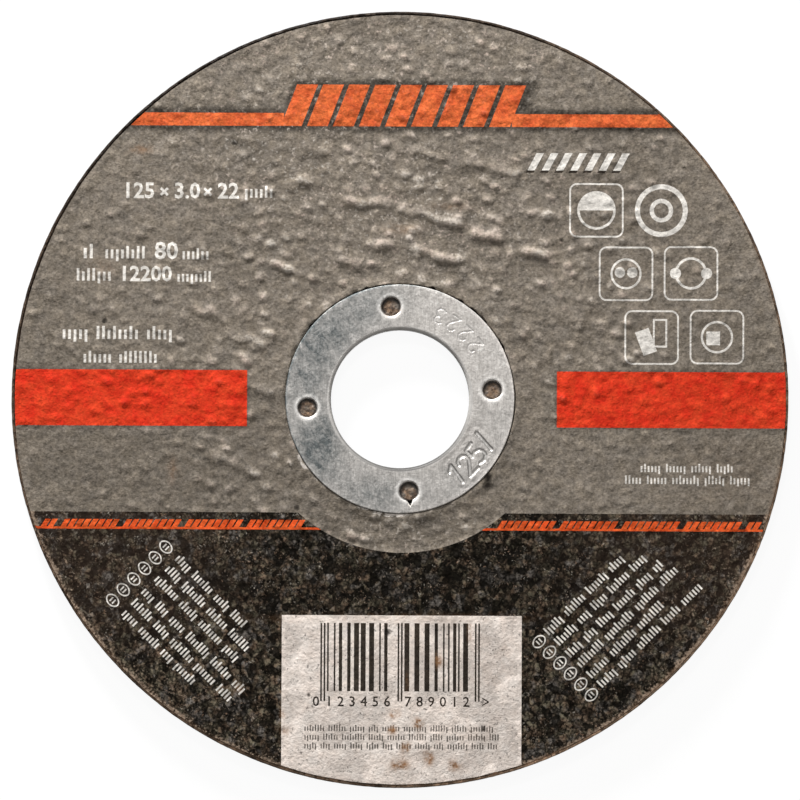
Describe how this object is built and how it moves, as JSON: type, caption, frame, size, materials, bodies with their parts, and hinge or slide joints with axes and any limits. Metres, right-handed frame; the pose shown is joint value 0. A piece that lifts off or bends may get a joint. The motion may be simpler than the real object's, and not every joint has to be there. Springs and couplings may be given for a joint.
{
  "type": "cut-off wheel",
  "caption": "Flat round bonded abrasive wheel with a printed paper label and a pressed steel ring in its bore, for cutting metal with an angle grinder.",
  "frame": {"origin": "on the wheel's axis, in the plane of its bare back", "axes": "+Z along the bore, out of the label; +Y towards the top of the label's print"},
  "size_m": [0.125, 0.125, 0.003],
  "materials": {
    "abrasive": "rough",
    "label_paper": "matte",
    "ring_steel": "brushed"
  },
  "bodies": {
    "root": {"abrasive_disc": "abrasive", "label": "label_paper", "centre_ring": "ring_steel"}
  },
  "joints": []
}
